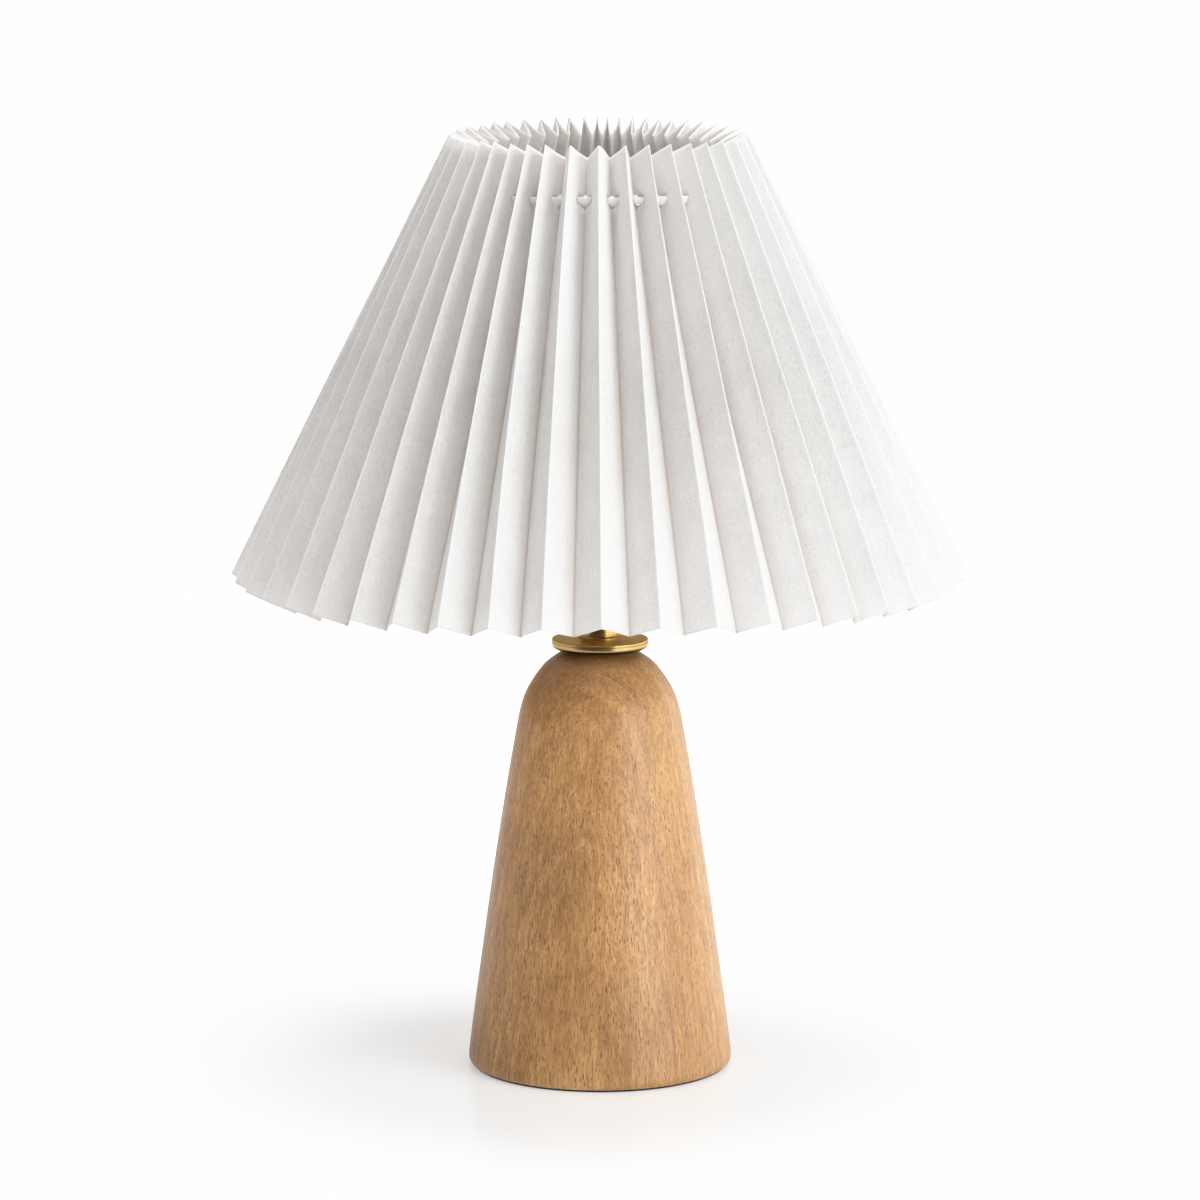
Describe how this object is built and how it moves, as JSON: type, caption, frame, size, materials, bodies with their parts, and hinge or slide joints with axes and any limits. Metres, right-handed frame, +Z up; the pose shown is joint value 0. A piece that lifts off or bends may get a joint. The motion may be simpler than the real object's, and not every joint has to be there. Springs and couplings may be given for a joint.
{
  "type": "pleated table lamp",
  "caption": "Table lamp with a turned wooden cone base, a brass disc and neck, a screw-in lamp holder with a rotary switch, and a pleated white paper cone shade on a wire carrier.",
  "frame": {"origin": "centre of the base's underside, on the surface the lamp stands on", "axes": "+Z up along the lamp's axis, -Y towards the viewed front, +Y towards the cable inlet at the back, +X to the viewer's right, where the switch knob is"},
  "size_m": [0.2998, 0.2996, 0.3834],
  "materials": {
    "wood": "satin",
    "pad": "matt",
    "brass": "brushed satin",
    "steel": "zinc plated",
    "holder_plastic": "gloss",
    "block_plastic": "matt",
    "ceramic": "unglazed",
    "contact_brass": "bright",
    "lead_brown": "smooth",
    "lead_blue": "smooth",
    "paper": "matt laminated",
    "wire": "white enamel",
    "bulb_glass": "clear",
    "bulb_aluminium": "satin",
    "bulb_black": "gloss",
    "filament": "smooth"
  },
  "bodies": {
    "lamp": {"base_pad": "pad", "wood_base": "wood", "cable_grommet": "pad", "threaded_tube": "steel", "bottom_washer": "steel", "bottom_nut": "steel", "cap_disc": "brass", "neck_tube": "brass", "terminal_block": "block_plastic", "terminal_block_screws": "contact_brass", "block_mounting_screw": "steel", "lead_live": "lead_brown", "lead_neutral": "lead_blue", "switch_link": "lead_brown", "holder_cap": "holder_plastic", "cap_grub_screw": "steel", "holder_skirt": "holder_plastic", "contact_block": "ceramic", "contact_screws": "contact_brass", "screw_shell": "contact_brass", "insulating_liner": "holder_plastic", "centre_contact": "contact_brass", "switch_body": "block_plastic", "switch_bush": "contact_brass", "switch_nut": "contact_brass"},
    "switch": {"switch_rotor": "contact_brass", "switch_stem": "contact_brass", "switch_knob": "holder_plastic"},
    "ring_nut": {"shade_ring": "holder_plastic"},
    "bulb": {"bulb_tip_contact": "contact_brass", "bulb_insulator": "bulb_black", "bulb_screw_cap": "bulb_aluminium", "bulb_glass": "bulb_glass", "bulb_stem": "bulb_glass", "led_filaments": "filament", "filament_supports": "steel"},
    "shade": {"pleated_shade": "paper", "carrier_top_ring": "wire", "fitter_ring": "wire", "carrier_arms": "wire"}
  },
  "joints": [
    {"name": "switch_turn", "type": "hinge", "parent": "lamp", "child": "switch", "pos_m": [0.0305, 0, 0.2212], "axis": [1, 0, 0], "continuous": true},
    {"name": "ring_nut_turn", "type": "hinge", "parent": "lamp", "child": "ring_nut", "pos_m": [0, 0, 0.243], "axis": [0, 0, 1], "continuous": true},
    {"name": "bulb_out", "type": "slide", "parent": "lamp", "child": "bulb", "axis": [0, 0, 1], "range_m": [0, 0.15]},
    {"name": "shade_turn", "type": "hinge", "parent": "lamp", "child": "shade", "pos_m": [0, 0, 0.24], "axis": [0, 0, 1], "continuous": true}
  ]
}
